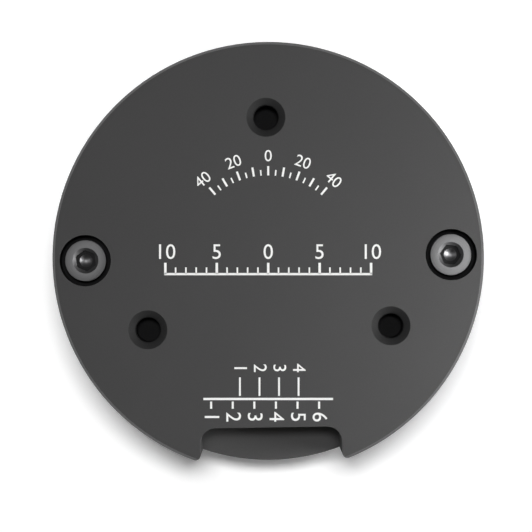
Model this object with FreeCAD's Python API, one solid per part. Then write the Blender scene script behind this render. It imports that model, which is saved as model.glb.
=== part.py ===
import FreeCAD, Part

import math
import os

from FreeCAD import Vector

# Round brushless servo motor: an outrunner motor with its driver board under the rear cover.
# The output face lies at z = 0, the spin axis is Z, and the plug notch faces -Y.
# All lengths are in millimetres and all angles in degrees.

# Stator stack and winding
slot_count = 12
slot_depth = 4.2
stack_height = 6.0
yoke_width = 2.2
tooth_width = 2.2
shoe_height = 1.1
slot_opening = 1.4
end_insulator = 0.4
insulator_rim_width = 0.5
insulator_rim_height = 0.9
insulator_margin = 0.3
end_turn = 1.2
coil_bend = 0.7
coil_side_gap = 0.3
coil_seat_gap = 0.15
coil_fit = 0.05

# Rotor
magnet_count = 14
air_gap = 0.3
magnet_thickness = 1.1
magnet_length = 7.0
magnet_side_gap = 0.5
flux_ring_wall = 1.1
bell_plate = 2.4
bell_rabbet = 1.0
bell_hub_height = 1.0
winding_clearance = 0.5
output_recess_radius = 5.0
output_recess_depth = 0.6
output_hole_count = 4
output_pattern_radius = 10.0
output_tap_radius = 1.025
rotor_edge = 0.4

# Shaft and its two shielded ball bearings
shaft_radius = 2.5
bearing_section = 2.5
bearing_width = 4.0
race_share = 0.3
shield_gap = 0.1
spring_height = 0.4
spring_fit = 0.1
retainer_sheet = 0.4
retainer_groove_depth = 0.2
retainer_mouth = 2.0
sensor_magnet_radius = 1.5
sensor_magnet_height = 2.0
sensor_gap = 1.0

# Stator base
bearing_tube_wall = 5.0
base_plate = 1.6
flange_overhang = 0.4
core_seat_step = 0.7
hub_wall = 1.4
hub_rise = 0.4
hub_lip = 0.3
web_clearance = 0.35

# Rear cover
cover_overhang = 0.6
cover_wall = 1.8
cover_plate = 2.5
cover_edge = 0.25
notch_depth = 4.5
notch_wall = 1.5
notch_corner = 1.5
notch_rim_round = 0.5
mount_pattern_radius = 13.65
mount_angles = (90.0, 210.0, 330.0)
mount_tap_radius = 1.25
mount_tap_depth = 3.8
mount_mouth_radius = 1.9
mount_boss_radius = 2.6
mount_boss_floor = 0.6

# Cover screws, one at each side
screw_angles = (0.0, 180.0)
screw_edge_distance = 3.2
screw_radius = 1.0
screw_head_radius = 1.95
screw_head_height = 2.0
screw_head_sink = 0.6
screw_head_edge = 0.2
screw_key_width = 2.0
screw_key_depth = 1.1
screw_tip_margin = 0.8
screw_tap_spare = 0.3
screw_hole_clearance = 0.1
counterbore_radius = 2.5
screw_boss_radius = 3.2
base_boss_radius = 2.15
base_boss_height = 3.0
base_boss_fit = 0.05

# Driver board and what it carries
board_thickness = 1.0
board_side_gap = 0.6
board_flat_gap = 0.2
board_tongue_inset = 0.3
board_post_angles = (50.0, 130.0, 230.0, 310.0)
board_post_radius = 1.9
board_post_edge = 2.2
board_screw_radius = 0.8
board_screw_head_radius = 1.5
board_screw_head_height = 0.9
board_screw_tip_margin = 0.15
board_hole_clearance = 0.1
lead_angles = (60.0, 90.0, 120.0)
lead_radius = 0.45
lead_window_margin = 0.35
lead_board_clearance = 0.05
lead_stub = 0.3

# Side-entry plug headers
header_pitch = 1.5
header_end = 1.5
header_height = 3.0
header_length = 5.0
header_wall = 0.5
header_cavity_depth = 3.6
header_key_width = 0.8
header_clearance = 0.15
header_window_gap = 0.2
power_ways = 6
signal_ways = 4
plug_side_room = 1.65
pin_width = 0.45
pin_setback = 0.6
pin_tail = 0.7

# Packages on the board, each with its width, length and height
chip_gap = 0.3
controller_offset = -7.0
controller_size = (7.0, 7.0, 0.9)
driver_offset = 1.2
gate_driver_size = (4.0, 4.0, 0.8)
transceiver_size = (3.0, 3.0, 0.9)
encoder_size = (3.0, 3.0, 0.85)
power_stage_pitch = 6.0
power_stage_gap = 2.3
power_stage_size = (3.3, 3.3, 0.9)
capacitor_count = 4
capacitor_pitch = 4.2
capacitor_size = (2.5, 3.2, 2.0)
choke_offset = 8.2
choke_size = (4.0, 4.0, 2.0)
choke_bevel = 0.7

# Levels along the axis, from the output face up
bell_inner = bell_plate
ring_low = bell_plate - bell_rabbet
coil_low = bell_inner + winding_clearance
core_low = coil_low + end_turn + end_insulator
core_high = core_low + stack_height
coil_high = core_high + end_insulator + end_turn
base_low = coil_high + winding_clearance
base_high = base_low + base_plate
board_low = base_high + header_clearance + header_height
board_high = board_low + board_thickness
cover_inner = board_high + header_height + header_clearance
top = cover_inner + cover_plate

front_bearing_low = bell_inner + bell_hub_height
front_bearing_high = front_bearing_low + bearing_width
hub_top = base_high + hub_rise
rear_bearing_high = hub_top - hub_lip
rear_bearing_low = rear_bearing_high - bearing_width
spring_low = rear_bearing_low - spring_height
shaft_low = output_recess_depth
shaft_top = board_low - encoder_size[2] - sensor_gap

# Radii from the bearings outwards
bearing_radius = shaft_radius + bearing_section
race_wall = race_share * bearing_section
inner_race_radius = shaft_radius + race_wall
web_bore_radius = inner_race_radius + web_clearance
hub_radius = bearing_radius + hub_wall
stator_bore_radius = bearing_radius + bearing_tube_wall
core_seat_radius = stator_bore_radius + core_seat_step
yoke_radius = stator_bore_radius + yoke_width
shoe_radius = yoke_radius + slot_depth
stator_radius = shoe_radius + shoe_height
magnet_inner = stator_radius + air_gap
magnet_outer = magnet_inner + magnet_thickness
rotor_radius = magnet_outer + flux_ring_wall
flange_radius = rotor_radius + flange_overhang
cover_radius = flange_radius + cover_overhang
cavity_radius = cover_radius - cover_wall
board_radius = cavity_radius - board_side_gap
post_circle = board_radius - board_post_edge
lead_circle = (yoke_radius + shoe_radius) / 2

# Notch, screws and plugs
screw_circle = cover_radius - screw_edge_distance
screw_seat = top - screw_head_sink - screw_head_height
screw_tip = base_low + screw_tip_margin
base_boss_top = base_high + base_boss_height
power_width = (power_ways - 1) * header_pitch + 2 * header_end
signal_width = (signal_ways - 1) * header_pitch + 2 * header_end
notch_half = power_width / 2 + plug_side_room
notch_flat = cover_radius - notch_depth
board_flat = notch_flat - notch_wall - board_flat_gap

# Rows of packages between the leads and the headers
stage_row = lead_circle * math.sin(math.radians(min(lead_angles))) - power_stage_gap - power_stage_size[1] / 2
capacitor_row = header_length - notch_flat + 2 * pin_tail + chip_gap + capacitor_size[1] / 2
stage_edge = stage_row - power_stage_size[1] / 2
capacitor_edge = capacitor_row + capacitor_size[1] / 2
middle_row = (stage_edge + capacitor_edge) / 2
gate_driver_row = stage_edge - chip_gap - gate_driver_size[1] / 2
transceiver_row = capacitor_edge + chip_gap + transceiver_size[1] / 2

# Angles of the slots
slot_pitch = 360.0 / slot_count
half_pitch = math.radians(slot_pitch / 2)
shoe_flat = shoe_radius * math.cos(half_pitch)


def point(radius, degrees, height=0.0):
    """Point at a radius and an angle about the spin axis."""
    angle = math.radians(degrees)
    return Vector(radius * math.cos(angle), radius * math.sin(angle), height)


def turned(corners):
    """Solid of revolution about the spin axis from (radius, height) corners."""
    points = [Vector(radius, 0, height) for radius, height in corners]
    outline = Part.makePolygon(points + points[:1])
    return Part.Face(outline).revolve(Vector(0, 0, 0), Vector(0, 0, 1), 360)


def disc(radius, low, high, centre=Vector(0, 0, 0)):
    """Upright cylinder between two levels."""
    return Part.makeCylinder(radius, high - low, Vector(centre.x, centre.y, low))


def ring(inner, outer, low, high):
    """Plain ring between two radii and two levels."""
    return turned([(inner, low), (outer, low), (outer, high), (inner, high)])


def block(x_range, y_range, z_range):
    """Box between three pairs of limits."""
    low = Vector(x_range[0], y_range[0], z_range[0])
    sizes = [pair[1] - pair[0] for pair in (x_range, y_range, z_range)]
    return Part.makeBox(*sizes, low)


def sector(inner, outer, inner_half, outer_half, low, high):
    """Arc-shaped block about the +X axis, with a half angle at each radius."""
    inner_arc = Part.Arc(point(inner, -inner_half, low), point(inner, 0, low), point(inner, inner_half, low))
    outer_arc = Part.Arc(point(outer, outer_half, low), point(outer, 0, low), point(outer, -outer_half, low))
    sides = [
        Part.makeLine(point(inner, inner_half, low), point(outer, outer_half, low)),
        Part.makeLine(point(outer, -outer_half, low), point(inner, -inner_half, low)),
    ]
    outline = Part.Wire([inner_arc.toShape(), sides[0], outer_arc.toShape(), sides[1]])
    return Part.Face(outline).extrude(Vector(0, 0, high - low))


def spun(shape, degrees):
    """Copy of a shape turned about the spin axis."""
    copy = shape.copy()
    copy.rotate(Vector(0, 0, 0), Vector(0, 0, 1), degrees)
    return copy


def around(shape, count, start=0.0):
    """Copies of a shape evenly spaced about the spin axis."""
    return [spun(shape, start + 360.0 * index / count) for index in range(count)]


def flat_sided(sides, apothem, low, high):
    """Upright regular prism, measured from its middle to a flat, with a flat towards +X."""
    corner = apothem / math.cos(math.pi / sides)
    corners = [point(corner, 360.0 * (index + 0.5) / sides, low) for index in range(sides)]
    return Part.Face(Part.makePolygon(corners + corners[:1])).extrude(Vector(0, 0, high - low))


# Stator stack and winding

def slotted(body, low, high):
    """Body with a slot between each pair of teeth, its floor and roof square to the teeth."""
    side = tooth_width / 2
    angle = slot_pitch / 2
    right = [spun(Part.Vertex(d, side, low), -angle).Point for d in (yoke_radius, shoe_flat)]
    left = [spun(Part.Vertex(d, -side, low), angle).Point for d in (shoe_flat, yoke_radius)]
    roof = Vector(shoe_radius, 0, low)
    floor = Vector(yoke_radius / math.cos(half_pitch), 0, low)
    outline = Part.makePolygon([floor] + right + [roof] + left + [floor])
    slot = Part.Face(outline).extrude(Vector(0, 0, high - low))
    mouth_side = slot_opening / 2
    mouth_depth = (shoe_radius - shoe_height / 2, stator_radius + shoe_height)
    mouth = block(mouth_depth, (-mouth_side, mouth_side), (low, high))
    return body.cut(around(slot.fuse(mouth), slot_count, angle))


def stator_core():
    stack = ring(stator_bore_radius, stator_radius, core_low, core_high)
    return slotted(stack, core_low, core_high)


def insulator(seat, outwards):
    """End insulator on one face of the stack, with a rim that holds the coils in."""
    outer_face = seat + outwards * end_insulator
    rim_top = outer_face + outwards * insulator_rim_height
    low, high = sorted((seat, outer_face))
    rim_low, rim_high = sorted((outer_face, rim_top))
    tip = (stator_radius - insulator_margin) * math.cos(half_pitch)
    plate = slotted(flat_sided(slot_count, tip, low, high), low, high)
    rim = flat_sided(slot_count, yoke_radius, rim_low, rim_high)
    hole = flat_sided(slot_count, yoke_radius - insulator_rim_width, min(low, rim_low), max(high, rim_high))
    return plate.fuse(rim).cut(hole)


def coil_section(distance, half_width, half_height):
    """Bevelled outline of a coil at one distance from the axis."""
    bend = coil_bend
    middle = (core_low + core_high) / 2
    quarter = [(half_width, half_height - bend), (half_width - bend, half_height)]
    corners = quarter + [(-y, z) for y, z in reversed(quarter)]
    corners += [(-y, -z) for y, z in corners]
    return [Vector(distance, y, middle + z) for y, z in corners]


def flat_loft(first, second):
    """Solid with flat sides between two outlines with the same number of corners."""
    quads = zip(first, first[1:] + first[:1], second[1:] + second[:1], second)
    outlines = [first, second] + [list(quad) for quad in quads]
    faces = [Part.Face(Part.makePolygon(corners + corners[:1])) for corners in outlines]
    shell = Part.makeShell(faces)
    shell.sewShape()
    return Part.makeSolid(shell)


def coil():
    """Coil on the tooth that points along +X, wider towards the air gap."""
    half_height = stack_height / 2 + end_insulator + end_turn
    inner_end = yoke_radius + coil_seat_gap
    outer_end = shoe_flat - coil_seat_gap

    def half_width(distance):
        return distance * math.tan(half_pitch) - coil_side_gap / 2 / math.cos(half_pitch)

    body = flat_loft(*[coil_section(end, half_width(end), half_height) for end in (inner_end, outer_end)])
    tooth_side = tooth_width / 2 + coil_fit
    tooth = block(
        (inner_end - 1, outer_end + 1),
        (-tooth_side, tooth_side),
        (core_low - end_insulator, core_high + end_insulator),
    )
    return body.cut(tooth)


def phase_leads():
    """Three leads that rise from coils to the driver board."""
    return [
        disc(lead_radius, coil_high, board_high + lead_stub, point(lead_circle, angle))
        for angle in lead_angles
    ]


# Rotor

def rotor_bell():
    body = turned([
        (shaft_radius, shaft_low),
        (output_recess_radius, shaft_low),
        (output_recess_radius, 0),
        (rotor_radius - rotor_edge, 0),
        (rotor_radius, rotor_edge),
        (rotor_radius, ring_low),
        (magnet_outer, ring_low),
        (magnet_outer, bell_inner),
        (inner_race_radius, bell_inner),
        (inner_race_radius, front_bearing_low),
        (shaft_radius, front_bearing_low),
    ])
    hole = disc(output_tap_radius, -1, bell_inner + 1, point(output_pattern_radius, 0))
    return body.cut(around(hole, output_hole_count, 180.0 / output_hole_count))


def flux_ring():
    return ring(magnet_outer, rotor_radius, ring_low, coil_high)


def magnet():
    """Arc magnet centred on the +X axis."""
    half_angle = 180.0 / magnet_count - math.degrees(magnet_side_gap / 2 / magnet_inner)
    middle = (core_low + core_high) / 2
    low = middle - magnet_length / 2
    return sector(magnet_inner, magnet_outer, half_angle, half_angle, low, low + magnet_length)


def shaft():
    """Motor shaft with a retaining groove and a pocket for the sensor magnet."""
    groove_radius = shaft_radius - retainer_groove_depth
    groove_high = rear_bearing_high + retainer_sheet
    pocket_floor = shaft_top - sensor_magnet_height
    return turned([
        (0, shaft_low),
        (shaft_radius, shaft_low),
        (shaft_radius, rear_bearing_high),
        (groove_radius, rear_bearing_high),
        (groove_radius, groove_high),
        (shaft_radius, groove_high),
        (shaft_radius, shaft_top),
        (sensor_magnet_radius, shaft_top),
        (sensor_magnet_radius, pocket_floor),
        (0, pocket_floor),
    ])


def sensor_magnet():
    return disc(sensor_magnet_radius, shaft_top - sensor_magnet_height, shaft_top)


def retaining_ring():
    """Open ring snapped into the shaft groove behind the rear bearing."""
    inner = shaft_radius - retainer_groove_depth
    high = rear_bearing_high + retainer_sheet
    half_mouth = retainer_mouth / 2
    mouth = block((0, bearing_radius), (-half_mouth, half_mouth), (rear_bearing_high, high))
    return ring(inner, inner_race_radius, rear_bearing_high, high).cut(mouth)


# Bearings

def bearing_outer_ring(low):
    """Outer ring with its shields, which close the bearing down to the inner ring."""
    return ring(inner_race_radius + shield_gap, bearing_radius, low, low + bearing_width)


def bearing_inner_ring(low):
    return ring(shaft_radius, inner_race_radius, low, low + bearing_width)


def preload_spring():
    """Spring washer at its pressed height, which loads the rear bearing's outer ring."""
    return ring(web_bore_radius + spring_fit, bearing_radius - spring_fit, spring_low, rear_bearing_low)


# Stator base

def base_core():
    """Flange and hollow boss of the stator base, with both bearing seats."""
    return turned([
        (bearing_radius, front_bearing_low),
        (stator_bore_radius, front_bearing_low),
        (stator_bore_radius, core_high),
        (core_seat_radius, core_high),
        (core_seat_radius, base_low),
        (flange_radius, base_low),
        (flange_radius, base_high),
        (hub_radius, base_high),
        (hub_radius, hub_top),
        (bearing_radius, hub_top),
        (bearing_radius, spring_low),
        (web_bore_radius, spring_low),
        (web_bore_radius, front_bearing_high),
        (bearing_radius, front_bearing_high),
    ])


def lead_window():
    """Curved window in the flange that the phase leads pass through."""
    reach = lead_radius + lead_window_margin
    half = (max(lead_angles) - min(lead_angles)) / 2 + math.degrees(math.asin(reach / lead_circle))
    window = sector(lead_circle - reach, lead_circle + reach, half, half, base_low, base_high)
    return spun(window, (max(lead_angles) + min(lead_angles)) / 2)


def stator_base():
    post_places = [point(post_circle, angle) for angle in board_post_angles]
    posts = [disc(board_post_radius, base_high, board_low, place) for place in post_places]
    bosses = [disc(base_boss_radius, base_high, base_boss_top, point(screw_circle, a)) for a in screw_angles]
    cutters = [lead_window()]
    cutters += [disc(board_screw_radius, base_high, board_low, place) for place in post_places]
    tap_low = screw_tip - screw_tap_spare
    cutters += [disc(screw_radius, tap_low, base_boss_top, point(screw_circle, a)) for a in screw_angles]
    return base_core().fuse(posts + bosses).cut(cutters)


# Rear cover

def notch_prism(grow, low, high):
    """Space of the plug notch, made larger all round by a given wall."""
    half = notch_half + grow
    flat = notch_flat - grow
    prism = block((-half, half), (-2 * cover_radius, -flat), (low, high))
    corners = [
        edge for edge in prism.Edges
        if edge.BoundBox.ZLength > (high - low) / 2 and abs(edge.CenterOfMass.y + flat) < 0.01
    ]
    return prism.makeFillet(notch_corner + grow, corners)


def cover_shell():
    """Round cup with the notch let into its side."""
    body = turned([
        (0, base_high),
        (cover_radius, base_high),
        (cover_radius, top - cover_edge),
        (cover_radius - cover_edge, top),
        (0, top),
    ])
    cavity = disc(cavity_radius, base_high, cover_inner).cut(notch_prism(notch_wall, base_high, cover_inner))
    shell = body.cut([cavity, notch_prism(0, base_high - 1, top + 1)])
    rim_corners = [
        edge for edge in shell.Edges
        if abs(abs(edge.CenterOfMass.x) - notch_half) < 0.01
        and edge.BoundBox.XLength < 0.01
        and edge.BoundBox.YLength < 0.01
    ]
    outermost = min(edge.CenterOfMass.y for edge in rim_corners)
    rim_corners = [edge for edge in rim_corners if edge.CenterOfMass.y < outermost + 0.01]
    return shell.makeFillet(notch_rim_round, rim_corners)


def mount_hole(angle):
    """Tapped mounting hole with a countersunk mouth, cut from above."""
    sink = mount_mouth_radius - mount_tap_radius
    hole = turned([
        (0, top - mount_tap_depth),
        (mount_tap_radius, top - mount_tap_depth),
        (mount_tap_radius, top - sink),
        (mount_mouth_radius, top),
        (0, top),
    ])
    hole.translate(point(mount_pattern_radius, angle))
    return hole


def plug_window():
    """Stepped opening in the notch wall, open at the rim so the cover slides over the headers."""
    wall = (-notch_flat - 1, -notch_flat + notch_wall + 1)
    lower = power_width / 2 + header_window_gap
    upper = signal_width / 2 + header_window_gap
    step = board_high + header_window_gap
    return [
        block((-lower, lower), wall, (base_high - 1, step)),
        block((-upper, upper), wall, (step - 1, cover_inner)),
    ]


def rear_cover():
    mount_boss_low = top - mount_tap_depth - mount_boss_floor
    mount_bosses = [
        disc(mount_boss_radius, mount_boss_low, top - cover_edge, point(mount_pattern_radius, angle))
        for angle in mount_angles
    ]
    inside = disc(cover_radius - cover_edge, base_high, top)
    screw_bosses = [
        disc(screw_boss_radius, base_high, top - cover_edge, point(screw_circle, angle)).common(inside)
        for angle in screw_angles
    ]
    cutters = [mount_hole(angle) for angle in mount_angles] + plug_window()
    for angle in screw_angles:
        place = point(screw_circle, angle)
        cutters += [
            disc(base_boss_radius + base_boss_fit, base_high - 1, base_boss_top, place),
            disc(screw_radius + screw_hole_clearance, base_boss_top - 1, top, place),
            disc(counterbore_radius, screw_seat, top + 1, place),
        ]
    return cover_shell().fuse(mount_bosses + screw_bosses).cut(cutters)


def cover_screws():
    """Two socket-head screws that hold the cover to the base."""
    head_top = top - screw_head_sink
    body = turned([
        (0, screw_tip),
        (screw_radius, screw_tip),
        (screw_radius, screw_seat),
        (screw_head_radius, screw_seat),
        (screw_head_radius, head_top - screw_head_edge),
        (screw_head_radius - screw_head_edge, head_top),
        (0, head_top),
    ])
    screw = body.cut(flat_sided(6, screw_key_width / 2, head_top - screw_key_depth, head_top))
    screws = []
    for angle in screw_angles:
        copy = screw.copy()
        copy.translate(point(screw_circle, angle))
        screws.append(copy)
    return screws


# Driver board

def driver_board():
    """Round board cut straight at the notch, with a tongue between the two headers."""
    tongue_side = power_width / 2
    main = disc(board_radius, board_low, board_high)
    beyond = block((-cover_radius, cover_radius), (-cover_radius, -board_flat), (board_low, board_high))
    tongue_end = -(notch_flat - board_tongue_inset)
    tongue = block((-tongue_side, tongue_side), (tongue_end, 0), (board_low, board_high))
    cutters = [
        disc(screw_boss_radius + board_flat_gap, board_low, board_high, point(screw_circle, angle))
        for angle in screw_angles
    ]
    cutters += [
        disc(board_screw_radius + board_hole_clearance, board_low, board_high, point(post_circle, angle))
        for angle in board_post_angles
    ]
    cutters += [
        disc(lead_radius + lead_board_clearance, board_low, board_high, point(lead_circle, angle))
        for angle in lead_angles
    ]
    return main.cut(beyond).fuse(tongue).cut(cutters).removeSplitter()


def board_screws():
    screw = turned([
        (0, base_high + board_screw_tip_margin),
        (board_screw_radius, base_high + board_screw_tip_margin),
        (board_screw_radius, board_high),
        (board_screw_head_radius, board_high),
        (board_screw_head_radius, board_high + board_screw_head_height),
        (0, board_high + board_screw_head_height),
    ])
    screws = []
    for angle in board_post_angles:
        copy = screw.copy()
        copy.translate(point(post_circle, angle))
        screws.append(copy)
    return screws


def mirrored_below(shape):
    """Same shape turned over to the underside of the board."""
    middle = (board_low + board_high) / 2
    return shape.mirror(Vector(0, 0, middle), Vector(0, 0, 1))


def header_shell(ways):
    """Moulded side-entry header on the upper side of the board, open towards the notch."""
    width = (ways - 1) * header_pitch + 2 * header_end
    half = width / 2
    front = -notch_flat
    back = front + header_length
    high = board_high + header_height
    inner = half - header_wall
    cavity = block(
        (-inner, inner),
        (front - 1, front + header_cavity_depth),
        (board_high + header_wall, high - header_wall),
    )
    key_side = header_key_width / 2
    cutters = [cavity]
    for centre in (-inner / 2, inner / 2):
        cutters.append(block(
            (centre - key_side, centre + key_side),
            (front - 1, front + header_cavity_depth / 2),
            (high - 2 * header_wall, high + 1),
        ))
    for place in pin_places(ways):
        cutters.append(pin(place))
    return block((-half, half), (front, back), (board_high, high)).cut(cutters)


def pin_places(ways):
    """Sideways place of each pin of a header."""
    first = -(ways - 1) * header_pitch / 2
    return [first + header_pitch * index for index in range(ways)]


def pin(place):
    """Bent contact: a blade in the header, a step down behind it and a soldered foot."""
    front = -notch_flat + pin_setback
    back = -notch_flat + header_length + pin_tail
    low = board_high
    high = board_high + header_height / 2 + pin_width / 2
    foot = back + pin_tail
    profile = [
        (front, high - pin_width),
        (front, high),
        (back, high),
        (back, low + pin_width),
        (foot, low + pin_width),
        (foot, low),
        (back - pin_width, low),
        (back - pin_width, high - pin_width),
    ]
    points = [Vector(place - pin_width / 2, y, z) for y, z in profile]
    return Part.Face(Part.makePolygon(points + points[:1])).extrude(Vector(pin_width, 0, 0))


def header_pins(ways):
    return [pin(place) for place in pin_places(ways)]


def chip_outline(place, size, cut_corners):
    """Outline of a package on the board's upper face, with its first corners cut off."""
    x, y = place
    half_width, half_length = size[0] / 2, size[1] / 2
    cut = min(half_width, half_length) / 3
    corners = []
    for index, (side_x, side_y) in enumerate([(-1, 1), (1, 1), (1, -1), (-1, -1)]):
        corner_x, corner_y = x + side_x * half_width, y + side_y * half_length
        if index < cut_corners:
            first = (corner_x, corner_y - side_y * cut)
            second = (corner_x - side_x * cut, corner_y)
            corners += [first, second] if side_x * side_y < 0 else [second, first]
        else:
            corners.append((corner_x, corner_y))
    points = [Vector(px, py, board_high) for px, py in corners]
    return Part.Face(Part.makePolygon(points + points[:1]))


def chip(place, size):
    """Flat package with one corner cut to mark its first pin."""
    return chip_outline(place, size, 1).extrude(Vector(0, 0, size[2]))


def encoder_chip():
    """Angle sensor on the underside of the board, over the magnet."""
    return mirrored_below(chip((0, 0), encoder_size))


def power_stage_chips():
    """One transistor package for each phase, in a row in front of the leads."""
    return [chip((step * power_stage_pitch, stage_row), power_stage_size) for step in (-1, 0, 1)]


def board_capacitors():
    """Row of ceramic capacitors behind the plug headers."""
    first = -(capacitor_count - 1) * capacitor_pitch / 2
    outlines = [
        chip_outline((first + index * capacitor_pitch, capacitor_row), capacitor_size, 0)
        for index in range(capacitor_count)
    ]
    return [outline.extrude(Vector(0, 0, capacitor_size[2])) for outline in outlines]


def buck_choke():
    """Shielded choke with bevelled upright edges."""
    choke = chip_outline((choke_offset, middle_row), choke_size, 0).extrude(Vector(0, 0, choke_size[2]))
    upright = [edge for edge in choke.Edges if edge.BoundBox.ZLength > choke_size[2] / 2]
    return choke.makeChamfer(choke_bevel, upright)


def all_parts():
    """Every piece by its node name: one solid, or a list of like solids."""
    parts = {
        "rear_cover": rear_cover(),
        "stator_base": stator_base(),
        "cover_screws": cover_screws(),
        "driver_board": driver_board(),
        "board_screws": board_screws(),
        "power_header": mirrored_below(header_shell(power_ways)),
        "power_header_pins": [mirrored_below(shape) for shape in header_pins(power_ways)],
        "signal_header": header_shell(signal_ways),
        "signal_header_pins": header_pins(signal_ways),
        "controller_chip": chip((controller_offset, middle_row), controller_size),
        "gate_driver_chip": chip((driver_offset, gate_driver_row), gate_driver_size),
        "transceiver_chip": chip((driver_offset, transceiver_row), transceiver_size),
        "power_stage_chips": power_stage_chips(),
        "encoder_chip": encoder_chip(),
        "board_capacitors": board_capacitors(),
        "buck_choke": buck_choke(),
        "stator_core": stator_core(),
        "front_insulator": insulator(core_low, -1),
        "rear_insulator": insulator(core_high, 1),
        "phase_leads": phase_leads(),
        "front_bearing_outer_ring": bearing_outer_ring(front_bearing_low),
        "front_bearing_inner_ring": bearing_inner_ring(front_bearing_low),
        "rear_bearing_outer_ring": bearing_outer_ring(rear_bearing_low),
        "rear_bearing_inner_ring": bearing_inner_ring(rear_bearing_low),
        "preload_spring": preload_spring(),
        "rotor_bell": rotor_bell(),
        "flux_ring": flux_ring(),
        "shaft": shaft(),
        "sensor_magnet": sensor_magnet(),
        "retaining_ring": retaining_ring(),
    }
    for index, shape in enumerate(around(coil(), slot_count)):
        parts[f"coil_{index + 1:02d}"] = shape
    for index, shape in enumerate(around(magnet(), magnet_count)):
        parts[f"magnet_{index + 1:02d}"] = shape
    return parts


def export(parts):
    """Writes one STEP file for each node."""
    os.makedirs("parts", exist_ok=True)
    for name, shape in parts.items():
        solids = shape if isinstance(shape, list) else [shape]
        whole = [solid for item in solids for solid in item.Solids]
        result = whole[0] if len(whole) == 1 else Part.makeCompound(whole)
        result.exportStep(f"parts/{name}.step")


export(all_parts())
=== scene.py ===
"""Round brushless servo motor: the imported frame, dressed for a picture straight down on its rear cover."""
import logging
import math
import random
from dataclasses import dataclass, field
from enum import Enum, IntEnum
from typing import Callable, Iterable, Sequence

import bmesh
import bpy
from mathutils import Matrix, Vector


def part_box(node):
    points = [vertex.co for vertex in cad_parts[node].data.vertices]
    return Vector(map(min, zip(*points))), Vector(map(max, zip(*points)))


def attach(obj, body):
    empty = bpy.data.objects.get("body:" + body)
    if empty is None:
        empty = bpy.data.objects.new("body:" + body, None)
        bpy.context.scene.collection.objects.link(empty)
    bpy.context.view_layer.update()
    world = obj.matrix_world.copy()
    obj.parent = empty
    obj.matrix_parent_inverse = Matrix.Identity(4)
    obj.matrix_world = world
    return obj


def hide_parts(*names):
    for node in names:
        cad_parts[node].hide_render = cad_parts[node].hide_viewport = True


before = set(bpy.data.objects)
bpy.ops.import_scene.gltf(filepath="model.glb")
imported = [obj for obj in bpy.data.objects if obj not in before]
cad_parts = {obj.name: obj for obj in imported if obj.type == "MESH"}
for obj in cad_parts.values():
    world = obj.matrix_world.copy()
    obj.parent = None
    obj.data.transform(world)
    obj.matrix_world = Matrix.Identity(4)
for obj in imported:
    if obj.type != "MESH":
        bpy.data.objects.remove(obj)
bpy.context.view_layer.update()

logging.basicConfig(level=logging.INFO, format="%(message)s")
log = logging.getLogger("servo")

MM = 0.001
Colour = tuple[float, float, float]
Point = tuple[float, float, float]
Profile = list[tuple[float, float]]
Socket = bpy.types.NodeSocket
Form = bmesh.types.BMesh

HOUSING = "housing"
ROTOR = "rotor"


class Grain(Enum):
    """Kinds of fine surface texture."""

    BLAST = "bead blasted"
    TURNED = "turned"
    SHEETS = "stacked sheets"


class Zone(IntEnum):
    """Finishes of the cover's faces, in the order of its materials."""

    BLASTED = 0
    # Tapped bores and counterbore walls and floors, painted dark as shade.
    BORE = 1
    # Outer chamfer, painted lighter as a reflection.
    RIM = 2
    # Hole mouths, painted dark as shade.
    COUNTERSINK = 3


class KeyZone(IntEnum):
    """Finishes inside a screw's key, in the order of its materials."""

    # Walls and flat floor of the key, painted dark as shade.
    WALL = 1
    HOLLOW = 2


class Side(Enum):
    """Sides of a package on the board, with the direction that each looks in."""

    RIGHT = (1.0, 0.0, 0.0)
    BACK = (0.0, 1.0, 0.0)
    LEFT = (-1.0, 0.0, 0.0)
    FRONT = (0.0, -1.0, 0.0)

    @property
    def out(self) -> Vector:
        """Direction away from the package."""
        return Vector(self.value)

    @property
    def along(self) -> Vector:
        """Direction along the side."""
        return Vector((-self.out.y, self.out.x, 0.0))


# Sizes taken from the frame

COVER_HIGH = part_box("rear_cover")[1]
TOP = COVER_HIGH.z
COVER_RADIUS = COVER_HIGH.x
BOARD_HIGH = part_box("driver_board")[1]

# Circle of the cover's screws, and how far the board's screws lie inside its edge

SINK_CIRCLE = 17.8 * MM
BOARD_SCREW_INSET = 2.2 * MM

# Widths of rounded edges: on magnets, machined parts, small parts, pins and sheet metal

WIDE_EDGE = 0.1 * MM
EDGE = 0.08 * MM
NARROW_EDGE = 0.06 * MM
PIN_EDGE = 0.05 * MM
SHEET_EDGE = 0.04 * MM

# What counts as one point, as a flat face and as an edge when edges are rounded

SAME_POINT = 0.001 * MM
FLAT_ANGLE = 0.5
EDGE_ANGLE = 32.0
MITRE_LIMIT = 0.5

# Angle in degrees above which an edge stays sharp: most pieces, turned rings, screws, threads and wire

SHARP = 35.0
RING_SHARP = 30.0
SCREW_SHARP = 28.0
THREAD_SHARP = 60.0


def polar(radius: float, degrees: float, height: float = 0.0) -> Vector:
    """Point at a radius and an angle about the spin axis."""
    angle = math.radians(degrees)
    return Vector((radius * math.cos(angle), radius * math.sin(angle), height))


# Shader tools

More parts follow.
